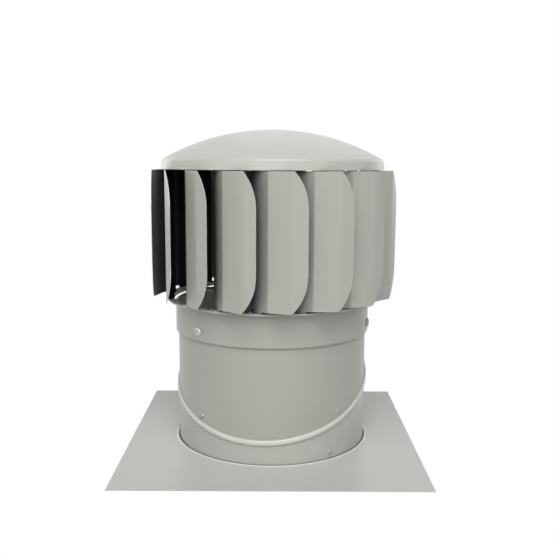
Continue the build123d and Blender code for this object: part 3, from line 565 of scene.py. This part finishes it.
# painted highlight on the sheared edges
EDGE_PAINTED_HIGHLIGHT = "#FBFCF8"
EDGE_PAINTED_HIGHLIGHT_DARK = "#F3F4F0"
EDGE_ROUGHNESS = 0.4
PAINTED_SHADE_REACH = (156 * MM, 178 * MM)    # from the axis: full painted shade, and the full coat
FOLD_REACH = (175.6 * MM, 177.0 * MM)
FOLD_SHARE = 0.26                 # of the coat's lightness, gained at the fold as the painted shade steps back
EDGE_HEIGHT = 1.05                # a sheared edge's triangles are no taller than this, in sheets
EDGE_LEVEL = 0.3                  # ... and they face up or down by more than this,
EDGE_OUTWARD = 0.45               # ... or outward by less than this


def over_painted_shade(tree, share, colour):
    """The colour, by its share, over the painted shade deep in the drum."""
    return add(tree, "ShaderNodeMix", {"data_type": "RGBA", 6: linear(DEEP_PAINTED_SHADE)},
               {0: share, 7: colour}).outputs[2]


def painted_shade_fade(tree, place, colour):
    """Painted shade inside the drum, the full coat outside the fold."""
    both = add(tree, "ShaderNodeMath", {"operation": "ADD"},
               {0: share_of_reach(tree, place, PAINTED_SHADE_REACH, 1 - FOLD_SHARE),
                1: share_of_reach(tree, place, FOLD_REACH, FOLD_SHARE)})
    return over_painted_shade(tree, both.outputs[0], colour)


def inside_shade_fade(tree, place, colour):
    """Painted shade, darker deep in the drum, lighter on the part that stands out of it."""
    return over_painted_shade(tree, share_of_reach(tree, place, INSIDE_REACH, 1.0), colour)


def place_key(face, corner):
    """A corner of a face, by the places of both."""
    return tuple(round(value / PLACE_STEP) for value in (*face.center, *corner))


def merged_copy(cad_node, name):
    """Copy of a CAD node's mesh with its loose triangles joined, shaded by the CAD's own normals."""
    copy = bpy.data.objects.new(name, node[cad_node].data.copy())
    bpy.context.collection.objects.link(copy)
    before = copy.data
    normals = {}
    for face in before.polygons:
        for loop in face.loop_indices:
            corner = before.vertices[before.loops[loop].vertex_index].co
            normals[place_key(face, corner)] = before.corner_normals[loop].vector.copy()
    only(copy)
    bpy.ops.object.mode_set(mode="EDIT")
    bpy.ops.mesh.select_all(action="SELECT")
    bpy.ops.mesh.remove_doubles(threshold=MERGE)
    bpy.ops.object.mode_set(mode="OBJECT")
    after = copy.data
    kept = []
    for face in after.polygons:
        for loop in face.loop_indices:
            corner = after.vertices[after.loops[loop].vertex_index].co
            kept.append(normals.get(place_key(face, corner), face.normal.copy()))
    after.normals_split_custom_set(kept)
    return copy


# The outer coat with its painted shade, the inner faces' painted shade, and the edges' painted highlight.
blade_coat_with_painted_shade = powder_coat("powder_coat_with_painted_shade", COAT_COLOUR, COAT_SHADE, COAT_ROUGHNESS,
                         painted_shade_fade)
blade_inside_painted_shade = powder_coat("painted_shade_on_inner_face", INSIDE_PAINTED_SHADE, INSIDE_PAINTED_SHADE_DARK, INSIDE_ROUGHNESS,
                           inside_shade_fade, INSIDE_IOR)
blade_edge_painted_highlight = powder_coat("painted_highlight_on_sheared_edge", EDGE_PAINTED_HIGHLIGHT, EDGE_PAINTED_HIGHLIGHT_DARK, EDGE_ROUGHNESS)

bent_blades = merged_copy("blades", "bent_blades")
skin = bent_blades.data
skin.materials.clear()
for material in (blade_coat_with_painted_shade, blade_inside_painted_shade, blade_edge_painted_highlight):
    skin.materials.append(material)
# Sheared edges get the painted highlight, faces that look into the drum the painted shade, the rest the outer
# coat.
for face in skin.polygons:
    corners = [skin.vertices[i].co for i in face.vertices]
    longest = max((corners[i] - corners[i - 1]).length for i in range(len(corners)))
    away = Vector((face.center.x, face.center.y - AXIS, 0)).normalized()
    outward = face.normal.dot(away)
    thin = 2 * face.area / longest < EDGE_HEIGHT * BLADE_SHEET
    on_edge = thin and (abs(face.normal.z) > EDGE_LEVEL or abs(outward) < EDGE_OUTWARD)
    face.material_index = 2 if on_edge else 0 if outward > 0 else 1
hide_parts("blades")
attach(bent_blades, "rotor")
dress(rivet_coat, "lower_blade_rivets", "upper_blade_rivets")


# ---- top disc and dome ----
# A flat aluminium disc carries the upper housing and the blades' heads.
# The dome is spun from one sheet and hemmed under the disc's edge. Its coat is painted a shade lighter
# than the blades', standing in for more light on the dome, and is as even, so that the crown has one
# broad soft highlight.
DOME_LIT_COLOUR = "#C9CBC3"
DOME_LIT_DARK = "#C4C6BE"
DOME_ROUGHNESS = 0.33

# The disc wears the blades' coat, so painted shade darkens it toward the axis.
dress(blade_coat_with_painted_shade, "top_disc")
dome_coat = powder_coat("powder_coated_spun_dome", DOME_LIT_COLOUR, DOME_LIT_DARK, DOME_ROUGHNESS)
dress(dome_coat, "dome")
